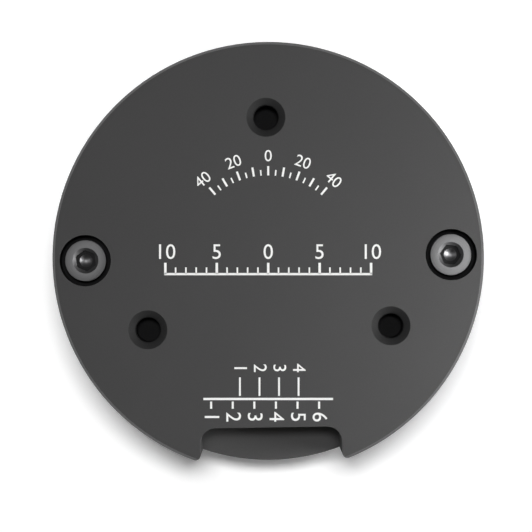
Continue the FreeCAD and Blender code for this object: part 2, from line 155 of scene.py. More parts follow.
class Tree:
    """Adds nodes to one shader tree and links them."""

    def __init__(self, tree: bpy.types.NodeTree) -> None:
        """Keeps the tree."""
        self.tree = tree

    def add(self, kind: str, inputs: dict | None = None, **settings: object) -> bpy.types.Node:
        """Adds one node.

        Args:
            kind: Blender's name of the node type.
            inputs: value or socket for each input, by name or number.
            settings: attributes set on the node.

        Returns:
            The new node.
        """
        node = self.tree.nodes.new(kind)
        for name, value in settings.items():
            setattr(node, name, value)
        for key, value in (inputs or {}).items():
            if isinstance(value, bpy.types.NodeSocket):
                self.tree.links.new(value, node.inputs[key])
            else:
                node.inputs[key].default_value = value
        return node

    def math(self, operation: str, *values: float | Socket) -> Socket:
        """Result of one math node."""
        return self.add("ShaderNodeMath", dict(enumerate(values)), operation=operation).outputs[0]

    def spread(self, value: Socket, width: float) -> Socket:
        """Noise between 0 and 1, moved to lie about 0 over a width."""
        return self.math("MULTIPLY_ADD", value, width, -width / 2)

    def mix(self, factor: float | Socket, first: Socket | Sequence, second: Socket | Sequence) -> Socket:
        """Colour between two colours."""
        node = self.add("ShaderNodeMix", {0: factor, 6: first, 7: second}, data_type="RGBA")
        return node.outputs[2]

    def place(self) -> Socket:
        """Place on the piece."""
        return self.add("ShaderNodeTexCoord").outputs["Object"]

    def noise(self, scale: float | Socket, detail: float) -> Socket:
        """Noise between 0 and 1 over the piece."""
        inputs = {"Vector": self.place(), "Scale": scale, "Detail": detail}
        return self.add("ShaderNodeTexNoise", inputs).outputs[0]

    def remap(self, value: Socket, low: float, high: float, to_low: float, to_high: float) -> Socket:
        """Value moved from one range to another, clamped."""
        inputs = {0: value, 1: low, 2: high, 3: to_low, 4: to_high}
        return self.add("ShaderNodeMapRange", inputs).outputs[0]


Effect = Callable[[Tree, dict[str, Socket]], dict[str, Socket]]


class Effects:
    """Node groups that several finishes share, each built once.

    An effect takes the group's tree and the socket of each input, and returns the socket for each output.
    """

    def __init__(self) -> None:
        """Starts with no group built."""
        self.built: dict[str, bpy.types.NodeTree] = {}

    def place(self, tools: Tree, effect: Effect, values: dict[str, float]) -> bpy.types.Node:
        """Puts an effect into a material as a group with its own values.

        Args:
            tools: the material's tree.
            effect: makes the group's nodes when it is first asked for.
            values: value of each input.

        Returns:
            The group node.
        """
        name = effect.__name__.replace("_", " ")
        if name not in self.built:
            tree = bpy.data.node_groups.new(name, "ShaderNodeTree")
            for label in values:
                tree.interface.new_socket(label, in_out="INPUT", socket_type="NodeSocketFloat")
            inner = Tree(tree)
            source = inner.add("NodeGroupInput")
            results = effect(inner, {label: source.outputs[label] for label in values})
            for label in results:
                tree.interface.new_socket(label, in_out="OUTPUT", socket_type="NodeSocketFloat")
            inner.add("NodeGroupOutput", results)
            self.built[name] = tree
        return tools.add("ShaderNodeGroup", values, node_tree=self.built[name])

    @staticmethod
    def blasted_grain(tools: Tree, given: dict[str, Socket]) -> dict[str, Socket]:
        """Fine random dimples, as bead blasting, moulding or casting leaves them."""
        scale = tools.math("DIVIDE", 1.0, given["Size"])
        fine = tools.noise(scale, 2.0)
        broad = tools.noise(tools.math("MULTIPLY", scale, 0.02), 3.0)
        both = tools.math("ADD", tools.spread(fine, 2.0), tools.spread(broad, 1.0))
        return {"Tone": tools.math("MULTIPLY_ADD", both, given["Contrast"], 1.0), "Height": fine}

    @staticmethod
    def turning_lines(tools: Tree, given: dict[str, Socket]) -> dict[str, Socket]:
        """Fine rings about the spin axis, as a lathe tool leaves them."""
        apart = tools.add("ShaderNodeSeparateXYZ", {0: tools.place()}).outputs
        squares = [tools.math("MULTIPLY", apart[axis], apart[axis]) for axis in (0, 1)]
        radius = tools.math("SQRT", tools.math("ADD", *squares))
        steps = tools.math("DIVIDE", tools.math("ADD", radius, apart[2]), given["Size"])
        inputs = {"W": steps, "Scale": 1.0, "Detail": 3.0}
        lines = tools.add("ShaderNodeTexNoise", inputs, noise_dimensions="1D").outputs[0]
        tone = tools.math("MULTIPLY_ADD", tools.spread(lines, 2.0), given["Contrast"], 1.0)
        return {"Tone": tone, "Height": lines}

    @staticmethod
    def stacked_sheets(tools: Tree, given: dict[str, Socket]) -> dict[str, Socket]:
        """Edges of thin sheets stacked along the spin axis."""
        apart = tools.add("ShaderNodeSeparateXYZ", {0: tools.place()}).outputs
        level = tools.math("DIVIDE", apart[2], given["Size"])
        seam = tools.remap(tools.math("PINGPONG", level, 0.5), 0.0, 0.12, 0.0, 1.0)
        number = {"W": tools.math("FLOOR", level)}
        sheet = tools.add("ShaderNodeTexWhiteNoise", number, noise_dimensions="1D").outputs[0]
        shade = tools.math("MULTIPLY_ADD", tools.spread(sheet, 1.0), given["Contrast"], 1.0)
        depth = tools.math("MULTIPLY_ADD", seam, 0.4, 0.6)
        return {"Tone": tools.math("MULTIPLY", shade, depth), "Height": seam}

    @staticmethod
    def edge_wear(tools: Tree, given: dict[str, Socket]) -> dict[str, Socket]:
        """Mask of the outer edges, partly rubbed by handling and partly a painted highlight where edges catch
        light, broken up in patches.
        """
        rounded = tools.add("ShaderNodeBevel", {"Radius": given["Radius"]}, samples=4).outputs[0]
        true = tools.add("ShaderNodeNewGeometry").outputs["Normal"]
        dot = tools.add("ShaderNodeVectorMath", {0: rounded, 1: true}, operation="DOT_PRODUCT")
        turn = tools.math("SUBTRACT", 1.0, dot.outputs["Value"])
        mask = tools.remap(turn, 0.02, 0.2, 0.0, 1.0)
        worn_and_glinting = tools.remap(tools.noise(900.0, 4.0), 0.35, 0.65, 0.35, 1.0)
        return {"Mask": tools.math("MULTIPLY", mask, tools.math("MULTIPLY", worn_and_glinting, given["Amount"]))}


EFFECTS = Effects()
BUILT: dict[str, bpy.types.Material] = {}


@dataclass(frozen=True)
class Finish:
    """Surface of one kind of piece, with its fine texture and its lighter edges, partly rubbed by handling
    and partly a painted highlight.
    """

    name: str
    colour: Colour
    roughness: float
    metallic: float = 0.0
    grain: Grain = Grain.BLAST
    grain_size: float = 0.12 * MM
    grain_depth: float = 0.003 * MM
    contrast: float = 0.06
    roughness_swing: float = 0.05
    edge_colour: Colour | None = None
    edge_amount: float = 0.0
    edge_radius: float = 0.06 * MM
    coat: float = 0.0
    specular: float = 0.5

    def material(self) -> bpy.types.Material:
        """Builds the material, or gives the one built before.

        Returns:
            The material with this finish's name.
        """
        if self.name in BUILT:
            return BUILT[self.name]
        material = bpy.data.materials.new(f"{self.name}_finish")
        BUILT[self.name] = material
        material.use_nodes = True
        material.diffuse_color = (*self.colour, 1.0)
        tools = Tree(material.node_tree)
        shader = material.node_tree.nodes["Principled BSDF"]
        fixed = {"Metallic": self.metallic, "Coat Weight": self.coat, "Specular IOR Level": self.specular}
        for name, value in fixed.items():
            shader.inputs[name].default_value = value
        effects = {
            Grain.BLAST: EFFECTS.blasted_grain,
            Grain.TURNED: EFFECTS.turning_lines,
            Grain.SHEETS: EFFECTS.stacked_sheets,
        }
        grain = {"Size": self.grain_size, "Contrast": self.contrast}
        texture = EFFECTS.place(tools, effects[self.grain], grain)
        toned = {0: self.colour, "Scale": texture.outputs["Tone"]}
        colour = tools.add("ShaderNodeVectorMath", toned, operation="SCALE").outputs[0]
        # Lighter edges: partly rubbed by handling, partly a painted highlight where edges catch the light.
        if self.edge_colour is not None:
            wear_and_glint_values = {"Radius": self.edge_radius, "Amount": self.edge_amount}
            worn_and_glinting = EFFECTS.place(tools, EFFECTS.edge_wear, wear_and_glint_values)
            colour = tools.mix(worn_and_glinting.outputs["Mask"], colour, (*self.edge_colour, 1.0))
        swing = tools.spread(texture.outputs["Height"], self.roughness_swing)
        rough = tools.math("ADD", swing, self.roughness)
        height = {"Distance": self.grain_depth, "Height": texture.outputs["Height"]}
        bump = tools.add("ShaderNodeBump", height).outputs[0]
        for name, value in (("Base Color", colour), ("Roughness", rough), ("Normal", bump)):
            tools.tree.links.new(value, shader.inputs[name])
        return material


@dataclass(frozen=True)
class Finishes:
    """Every finish of the motor."""

    anodised: Finish = Finish(
        "anodised_aluminium", (0.0295, 0.0292, 0.0296), 0.78, 0.1, grain_size=0.16 * MM,
        grain_depth=0.004 * MM, contrast=0.14, edge_colour=(0.14, 0.14, 0.14), edge_amount=0.6,
        edge_radius=0.08 * MM, specular=0.2,
    )
    # Lighter copy of the anodised finish: painted light for the ledge in the notch, which the notch walls
    # shade.
    base: Finish = Finish(
        "anodised_base_painted_light", (0.038, 0.0377, 0.038), 0.76, 0.1, grain_size=0.16 * MM,
        grain_depth=0.004 * MM, contrast=0.14, edge_colour=(0.14, 0.14, 0.14), edge_amount=0.6,
        edge_radius=0.08 * MM, specular=0.25,
    )
    # Lighter rim chamfer: a painted reflection of the pale surroundings, not a different anodising.
    edge: Finish = Finish(
        "rim_painted_reflection", (0.12, 0.1195, 0.12), 0.7, grain_size=0.16 * MM, contrast=0.2, specular=0.1,
    )
    # Near-black bores and counterbores: painted shade for the dark inside of deep holes, darker than the
    # anodising they are cut in.
    bore: Finish = Finish(
        "painted_shade_bore", (0.007, 0.007, 0.0073), 0.85, grain_size=0.2 * MM, contrast=0.3, specular=0.05,
    )
    # Dark countersink: painted shade on the hole mouths, darker than the anodising around them.
    mouth: Finish = Finish(
        "countersink_painted_shade", (0.018, 0.018, 0.0183), 0.8, 0.0, Grain.TURNED, 0.09 * MM, 0.004 * MM, 0.3,
        specular=0.08,
    )
    turned: Finish = Finish(
        "rotor_aluminium", (0.062, 0.062, 0.064), 0.40, 0.7, Grain.TURNED, 0.12 * MM, 0.006 * MM, 0.25,
        edge_colour=(0.30, 0.30, 0.31), edge_amount=0.5,
    )
    flux: Finish = Finish(
        "flux_steel", (0.075, 0.075, 0.08), 0.42, 0.8, Grain.TURNED, 0.11 * MM, 0.003 * MM, 0.12,
        edge_colour=(0.35, 0.35, 0.36), edge_amount=0.4,
    )
    screw: Finish = Finish(
        "screw_steel", (0.060, 0.060, 0.061), 0.60, 0.95, Grain.TURNED, 0.06 * MM, 0.003 * MM, 0.2,
        edge_colour=(0.18, 0.18, 0.19), edge_amount=0.8, edge_radius=0.05 * MM,
    )
    # Near-black key walls and floor: painted shade inside the hexagonal key.
    socket: Finish = Finish(
        "screw_socket_painted_shade", (0.010, 0.010, 0.0105), 0.8, grain_size=0.08 * MM, contrast=0.3, specular=0.1,
    )
    drilled: Finish = Finish(
        "drilled_steel", (0.075, 0.075, 0.077), 0.44, 1.0, grain_size=0.1 * MM, grain_depth=0.001 * MM,
        contrast=0.1,
    )
    bearing: Finish = Finish(
        "bearing_steel", (0.60, 0.60, 0.62), 0.2, 1.0, Grain.TURNED, 0.07 * MM, 0.001 * MM, 0.05,
    )
    nickel: Finish = Finish(
        "magnet_nickel", (0.62, 0.60, 0.56), 0.26, 1.0, grain_size=0.3 * MM, grain_depth=0.002 * MM,
        contrast=0.07,
    )
    sheets: Finish = Finish(
        "lamination_steel", (0.20, 0.20, 0.22), 0.42, 0.8, Grain.SHEETS, 0.3 * MM, 0.02 * MM, 0.25,
    )
    nylon: Finish = Finish(
        "insulator_plastic", (0.80, 0.78, 0.70), 0.5, grain_size=0.25 * MM, contrast=0.03,
    )
    copper: Finish = Finish(
        "enamelled_copper", (0.52, 0.20, 0.07), 0.28, 0.9, grain_size=0.5 * MM, grain_depth=0.002 * MM,
        contrast=0.14, coat=0.6,
    )
    laminate: Finish = Finish(
        "board_laminate", (0.018, 0.11, 0.05), 0.33, grain_size=0.4 * MM, grain_depth=0.004 * MM,
        contrast=0.10,
    )
    track: Finish = Finish(
        "masked_copper", (0.03, 0.17, 0.075), 0.33, grain_size=0.4 * MM, grain_depth=0.002 * MM,
    )
    ferrite: Finish = Finish(
        "choke_ferrite", (0.10, 0.10, 0.105), 0.6, grain_size=0.06 * MM, grain_depth=0.004 * MM,
        contrast=0.25,
    )
    package: Finish = Finish(
        "chip_plastic", (0.028, 0.028, 0.03), 0.55, grain_size=0.08 * MM, contrast=0.10,
    )
    ceramic: Finish = Finish(
        "capacitor_ceramic", (0.40, 0.30, 0.21), 0.45, grain_size=0.1 * MM, grain_depth=0.002 * MM,
    )
    header: Finish = Finish(
        "header_plastic", (0.76, 0.74, 0.67), 0.48, grain_size=0.2 * MM, contrast=0.03,
    )
    tin: Finish = Finish(
        "pin_brass", (0.72, 0.66, 0.50), 0.28, 1.0, grain_size=0.2 * MM, grain_depth=0.002 * MM,
    )
    print_white: Finish = Finish(
        "white_marking", (0.80, 0.80, 0.79), 0.6, grain_size=0.15 * MM, grain_depth=0.002 * MM,
        contrast=0.08,
    )


FINISHES = Finishes()


# Mesh tools

@dataclass(frozen=True)
class Ring:
    """One ring of a turned form: its radius and level may change round the axis."""

    radius: float | Callable[[float], float]
    level: float | Callable[[float], float]

    def at(self, angle: float) -> tuple[float, float]:
        """Radius and level at an angle in radians."""
        radius = self.radius(angle) if callable(self.radius) else self.radius
        level = self.level(angle) if callable(self.level) else self.level
        return radius, level


def added(name: str, data: bpy.types.ID) -> bpy.types.Object:
    """Puts an object with its data into the scene."""
    made = bpy.data.objects.new(name, data)
    bpy.context.scene.collection.objects.link(made)
    return made


def piece(
    name: str, mesh: bpy.types.Mesh, finish: Finish, body: str, replaced: Sequence[str] = (),
) -> bpy.types.Object:
    """Puts a mesh into the scene as a piece of the motor.

    Args:
        name: name of the piece.
        mesh: its finished mesh, in the frame's own place.
        finish: its surface.
        body: the body that it rides on.
        replaced: CAD nodes that it stands for.

    Returns:
        The new object.
    """
    made = added(name, mesh)
    mesh.materials.clear()
    mesh.materials.append(finish.material())
    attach(made, body)
    if replaced:
        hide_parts(*replaced)
    log.info("%s: %d faces on %s", name, len(mesh.polygons), body)
    return made


def finished_mesh(name: str, form: Form, sharp: float = SHARP) -> bpy.types.Mesh:
    """Turns a form into a mesh that is smooth but for its sharp edges.

    Args:
        name: name of the mesh.
        form: the form, which is freed.
        sharp: angle in degrees above which an edge stays sharp.

    Returns:
        The mesh.
    """
    bmesh.ops.recalc_face_normals(form, faces=form.faces)
    for face in form.faces:
        face.smooth = True
    for edge in form.edges:
        edge.smooth = edge.calc_face_angle(0.0) < math.radians(sharp)
    mesh = bpy.data.meshes.new(name)
    form.to_mesh(mesh)
    form.free()
    return mesh


def formed(
    name: str, form: Form, finish: Finish, body: str,
    replaced: Sequence[str] = (), sharp: float = SHARP,
) -> bpy.types.Object:
    """Finishes a form and puts it into the scene.

    Args:
        name: name of the piece and of its mesh.
        form: the form, which is freed.
        finish: its surface.
        body: the body that it rides on.
        replaced: CAD nodes that it stands for.
        sharp: angle in degrees above which an edge stays sharp.

    Returns:
        The new object.
    """
    return piece(name, finished_mesh(name, form, sharp), finish, body, replaced)


def bridge(form: Form, low: Sequence[bmesh.types.BMVert], high: Sequence[bmesh.types.BMVert]) -> None:
    """Joins two closed rows of vertices with faces.

    Args:
        form: the bmesh to add to.
        low: the first row, or a single point.
        high: the second row, or a single point.
    """
    count = max(len(low), len(high))
    for step in range(count):
        after = (step + 1) % count
        corners = [low[step % len(low)], low[after % len(low)]]
        corners += [high[after % len(high)], high[step % len(high)]]
        form.faces.new(list(dict.fromkeys(corners)))


def lathe(form: Form, rings: Sequence[Ring], centre: Vector, segments: int) -> None:
    """Adds a closed turned form to a bmesh, its first and last ring on the axis or joined as a tube.

    Args:
        form: the bmesh to add to.
        rings: rings in order along the surface.
        centre: a point on the axis.
        segments: number of steps round the axis.
    """
    rows: list[list[bmesh.types.BMVert]] = []
    for ring in rings:
        radius, level = ring.at(0.0)
        if radius == 0.0:
            rows.append([form.verts.new(centre + Vector((0.0, 0.0, level)))])
            continue
        row = []
        for step in range(segments):
            angle = 2.0 * math.pi * step / segments
            radius, level = ring.at(angle)
            spot = Vector((radius * math.cos(angle), radius * math.sin(angle), level))
            row.append(form.verts.new(centre + spot))
        rows.append(row)
    for low, high in zip(rows, rows[1:]):
        bridge(form, low, high)
    if len(rows[0]) > 1 and len(rows[-1]) > 1:
        bridge(form, rows[-1], rows[0])


@dataclass(frozen=True)
class Tap:
    """Thread of a tapped hole, as ridges that stand in from its wall by a share of their pitch."""

    radius: float
    pitch: float
    ridge: float = 0.16
    steps: int = 6
    skin: float = 0.02 * MM
    segments: int = 32

    def thread(self, form: Form, place: Vector, low: float, high: float) -> None:
        """Adds the thread of one hole.

        Args:
            form: the bmesh to add to.
            place: a point on the hole's axis.
            low: level of the hole's floor.
            high: level of the thread's start.
        """
        start = high - self.skin
        wall = self.radius + self.skin
        count = int((high - low) / self.pitch * self.steps)
        rings = [Ring(wall, start)]
        for step in range(count + 1):

            def ridged(angle: float, step: int = step) -> float:
                """Radius of the thread at an angle."""
                phase = (step / self.steps + angle / (2 * math.pi)) % 1.0
                return self.radius - self.ridge * self.pitch * (1 - abs(2 * phase - 1))

            rings.append(Ring(ridged, start - step * self.pitch / self.steps))
        rings.append(Ring(wall, start - count * self.pitch / self.steps))
        lathe(form, rings, place, self.segments)


def slab(form: Form, middle: Vector, size: Vector) -> None:
    """Adds a thin plate square to the axes."""
    bmesh.ops.create_cube(form, size=1.0, matrix=Matrix.Translation(middle) @ Matrix.Diagonal((*size, 1.0)))


def collar(
    form: Form, place: Vector, profile: Sequence[tuple[float, float]], segments: int = 32,
) -> None:
    """Adds a ring with a closed profile.

    Args:
        form: the bmesh to add to.
        place: the point that the profile's levels start from.
        profile: radius and level of each corner.
        segments: number of steps round the axis.
    """
    lathe(form, [Ring(radius, level) for radius, level in profile], place, segments)


def flat_ring(inner: float, outer: float, height: float) -> Profile:
    """Profile of a flat ring that stands on its place."""
    return [(inner, 0.0), (inner, height), (outer, height), (outer, 0.0)]


def ribbon(form: Form, path: Sequence[Vector], width: float, low: float, high: float) -> None:
    """Adds a flat track that follows a path.

    Args:
        form: the bmesh to add to.
        path: its corners.
        width: its width.
        low: level of its lower face.
        high: level of its upper face.
    """
    rows = []
    for index, spot in enumerate(path):
        before = (spot - path[index - 1]).normalized() if index else None
        after = (path[index + 1] - spot).normalized() if index + 1 < len(path) else None
        along = ((before or after) + (after or before)).normalized()
        reach = width / 2 / max(MITRE_LIMIT, along.dot(after or before))
        side = Vector((-along.y, along.x, 0.0)) * reach
        corners = [(spot + side, high), (spot - side, high), (spot - side, low), (spot + side, low)]
        rows.append([form.verts.new((corner.x, corner.y, level)) for corner, level in corners])
    for first, second in zip(rows, rows[1:]):
        bridge(form, first, second)
    form.faces.new(rows[0])
    form.faces.new(rows[-1][::-1])


def soften(target: bpy.types.Object, width: float, segments: int = 2) -> None:
    """Rounds the sharp edges of a piece with modifiers.

    Args:
        target: the piece or CAD node.
        width: width of the rounding.
        segments: number of steps over the rounding.
    """
    weld = target.modifiers.new("joined", "WELD")
    weld.merge_threshold = SAME_POINT
    flat = target.modifiers.new("flat faces", "DECIMATE")
    flat.decimate_type = "DISSOLVE"
    flat.angle_limit = math.radians(FLAT_ANGLE)
    bevel = target.modifiers.new("softened edges", "BEVEL")
    bevel.width = width
    bevel.segments = segments
    bevel.limit_method = "ANGLE"
    bevel.angle_limit = math.radians(EDGE_ANGLE)
    bevel.use_clamp_overlap = True
    bevel.miter_outer = "MITER_ARC"
    normals = target.modifiers.new("weighted normals", "WEIGHTED_NORMAL")
    normals.keep_sharp = False
    normals.weight = 100


def dress(names: Iterable[str], finish: Finish, edge: float = 0.0) -> None:
    """Gives CAD nodes their finish, and rounds their edges.

    Args:
        names: the nodes.
        finish: their surface.
        edge: width of the rounding, or 0 for none.
    """
    for name in names:
        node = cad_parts[name]
        node.data.materials.clear()
        node.data.materials.append(finish.material())
        if edge:
            soften(node, edge)
        log.info("%s: %s", name, finish.name)


# Rear cover and its marks

@dataclass(frozen=True)
class Legend:
    """Row of numbered ticks, placed from the line by the notch."""

    count: int
    first: float
    pitch: float
    tick_width: float
    tick_length: float
    tick_level: float
    digit: float
    digit_level: float


@dataclass(frozen=True)
class Ticks:
    """Long and short ticks of a scale as width and length, with the numbers above them."""

    long: tuple[float, float]
    short: tuple[float, float]
    digit: float
    digit_level: float


@dataclass
class Markings:
    """Plain white scales and numbers printed on the cover."""

    thickness: float = 0.006 * MM
    turn: float = -0.95
    line_width: float = 0.22 * MM
    font_size: float = 1.38
    same_point: float = 0.0001 * MM
    pin_line: float = -13.74 * MM
    pin_line_half: float = 6.3 * MM
    power: Legend = Legend(6, -5.55 * MM, 2.1 * MM, 0.2 * MM, 0.7 * MM, -0.6 * MM, 1.5 * MM, -1.75 * MM)
    signal: Legend = Legend(4, -2.75 * MM, 1.9 * MM, 0.18 * MM, 1.8 * MM, 1.2 * MM, 1.3 * MM, 3.0 * MM)
    arc: Ticks = Ticks((0.2 * MM, 0.9 * MM), (0.14 * MM, 0.55 * MM), 1.15 * MM, 1.85 * MM)
    arc_radius: float = 8.0 * MM
    arc_step: float = 5.0
    arc_half: float = 40.0
    arc_numbered: int = 4
    scale: Ticks = Ticks((0.24 * MM, 1.1 * MM), (0.15 * MM, 0.65 * MM), 1.5 * MM, 2.1 * MM)
    scale_line: float = -1.6 * MM
    scale_step: float = 1.0 * MM
    scale_half: int = 10
    scale_numbered: int = 5

    def bar(
        self, form: Form, place: Vector, width: float, length: float, degrees: float = 0.0,
    ) -> None:
        """Adds a thin bar, its length along Y before it is turned.

        Args:
            form: the bmesh to add to.
            place: its middle.
            width: its width.
            length: its length.
            degrees: its turn about Z.
        """
        turn = Matrix.Rotation(math.radians(degrees), 4, "Z")
        stretch = Matrix.Diagonal((width, length, self.thickness, 1.0))
        lift = Matrix.Translation((0.0, 0.0, TOP - self.thickness / 2))
        bmesh.ops.create_cube(form, size=1.0, matrix=Matrix.Translation(place) @ lift @ turn @ stretch)

    def number(
        self, form: Form, text: str, place: Vector, height: float, degrees: float = 0.0,
    ) -> None:
        """Adds a number as a thin raised mark.

        Args:
            form: the bmesh to add to.
            text: its digits.
            place: its middle.
            height: height of a digit.
            degrees: its turn about Z.
        """
        curve = bpy.data.curves.new("digits", "FONT")
        curve.body = text
        curve.align_x = "CENTER"
        curve.align_y = "CENTER"
        curve.size = height * self.font_size
        curve.extrude = self.thickness / 2
        curve.resolution_u = 4
        holder = added("digits", curve)
        shape = bpy.data.meshes.new_from_object(holder.evaluated_get(bpy.context.evaluated_depsgraph_get()))
        spot = Matrix.Translation(place + Vector((0.0, 0.0, TOP - self.thickness / 2)))
        shape.transform(spot @ Matrix.Rotation(math.radians(degrees), 4, "Z"))
        form.from_mesh(shape)
        bpy.data.objects.remove(holder)
        bpy.data.curves.remove(curve)
        bpy.data.meshes.remove(shape)

    def pin_numbers(self, form: Form) -> None:
        """Adds the legends of the two plugs, by the notch."""
        self.bar(form, Vector((0.0, self.pin_line, 0.0)), 2 * self.pin_line_half, self.line_width)
        for legend in (self.power, self.signal):
            for index in range(legend.count):
                across = legend.first + index * legend.pitch
                tick = Vector((across, self.pin_line + legend.tick_level, 0.0))
                self.bar(form, tick, legend.tick_width, legend.tick_length)
                place = Vector((across, self.pin_line + legend.digit_level, 0.0))
                self.number(form, str(index + 1), place, legend.digit, -90)

    def arc_scale(self, form: Form) -> None:
        """Adds a scale of degrees on an arc about the spin axis."""
        for step in range(round(2 * self.arc_half / self.arc_step) + 1):
            away = -self.arc_half + step * self.arc_step
            width, length = self.arc.short if step % 2 else self.arc.long
            self.bar(form, polar(self.arc_radius + length / 2, 90 - away), width, length, -away)
            if step % self.arc_numbered == 0:
                place = polar(self.arc_radius + self.arc.digit_level, 90 - away)
                self.number(form, str(abs(round(away))), place, self.arc.digit, -away)

    def straight_scale(self, form: Form) -> None:
        """Adds a straight scale of millimetres across the middle."""
        half = self.scale_half * self.scale_step
        self.bar(form, Vector((0.0, self.scale_line, 0.0)), 2 * half + self.line_width, self.line_width)
        for step in range(-self.scale_half, self.scale_half + 1):
            numbered = step % self.scale_numbered == 0
            width, length = self.scale.long if numbered else self.scale.short
            foot = Vector((step * self.scale_step, self.scale_line, 0.0))
            self.bar(form, foot + Vector((0.0, length / 2, 0.0)), width, length)
            if numbered:
                above = foot + Vector((0.0, self.scale.digit_level, 0.0))
                self.number(form, str(abs(step)), above, self.scale.digit)

    def build(self) -> None:
        """Makes all the marks as one piece."""
        form = bmesh.new()
        self.pin_numbers(form)
        self.arc_scale(form)
        self.straight_scale(form)
        bmesh.ops.transform(form, matrix=Matrix.Rotation(math.radians(self.turn), 4, "Z"), verts=form.verts)
        bmesh.ops.remove_doubles(form, verts=form.verts, dist=self.same_point)
        formed("cover_markings", form, FINISHES.print_white, HOUSING)


@dataclass
class RearCover:
    """Machined cup over the driver board, with its tapped holes."""

    print_room: float = 0.008 * MM
    hole_circle: float = 13.65 * MM
    hole_angles: tuple[float, ...] = (90.0, 210.0, 330.0)
    tap: Tap = Tap(1.26 * MM, 0.5 * MM)
    bore_mouth: float = 0.65 * MM
    bore_depth: float = 3.8 * MM
    mouth_radius: float = 1.92 * MM
    sink_radius: float = 2.51 * MM
    sink_depth: float = 2.6 * MM
    sink_room: float = 0.1 * MM
    rim_width: float = 0.3 * MM
    slanted: tuple[float, float] = (0.3, 0.95)
    markings: Markings = field(default_factory=Markings)

    def zone(self, spot: Vector, facing_up: float) -> Zone:
        """Finish of a face.

        Args:
            spot: middle of the face.
            facing_up: Z of its normal.

        Returns:
            The zone that the face lies in.
        """
        slanted = self.slanted[0] < facing_up < self.slanted[1]
        # The outer chamfer takes the painted reflection.
        if slanted and spot.xy.length > COVER_RADIUS - self.rim_width:
            return Zone.RIM
        deep = TOP - spot.z
        to_hole = min((spot - polar(self.hole_circle, angle, spot.z)).length for angle in self.hole_angles)
        to_sink = min((spot - polar(SINK_CIRCLE, angle, spot.z)).length for angle in (0.0, 180.0))
        in_sink = self.sink_room < deep < self.sink_depth + self.sink_room
        # Deep bore and counterbore faces take the painted shade.
        if (to_hole < self.tap.radius and deep > self.bore_mouth) or (to_sink < self.sink_radius and in_sink):
            return Zone.BORE
        # Hole mouths take the painted shade of the countersinks.
        return Zone.COUNTERSINK if slanted and to_hole < self.mouth_radius else Zone.BLASTED

    def build(self) -> None:
        """Makes the cover with softened edges, its face lowered by the thickness of the print."""
        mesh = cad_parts["rear_cover"].data.copy()
        for vertex in mesh.vertices:
            if vertex.co.z > TOP - SAME_POINT:
                vertex.co.z -= self.print_room
        name, slot = "rear_cover_shell", "anodised_aluminium"
        cover = piece(name, mesh, FINISHES.anodised, HOUSING, ["rear_cover"])
        # Added materials: painted shade for the bores, painted reflection for the rim, painted shade for the
        # countersinks.
        for inner in (FINISHES.bore, FINISHES.edge, FINISHES.mouth):
            mesh.materials.append(inner.material())
        for face in mesh.polygons:
            face.material_index = self.zone(face.center, face.normal.z)
        soften(cover, NARROW_EDGE)
        form = bmesh.new()
        low, high = TOP - self.bore_depth, TOP - self.bore_mouth
        for angle in self.hole_angles:
            self.tap.thread(form, polar(self.hole_circle, angle), low, high)
        # The threads share the bores' painted shade.
        formed("mount_threads", form, FINISHES.bore, HOUSING, sharp=THREAD_SHARP)
        self.markings.build()


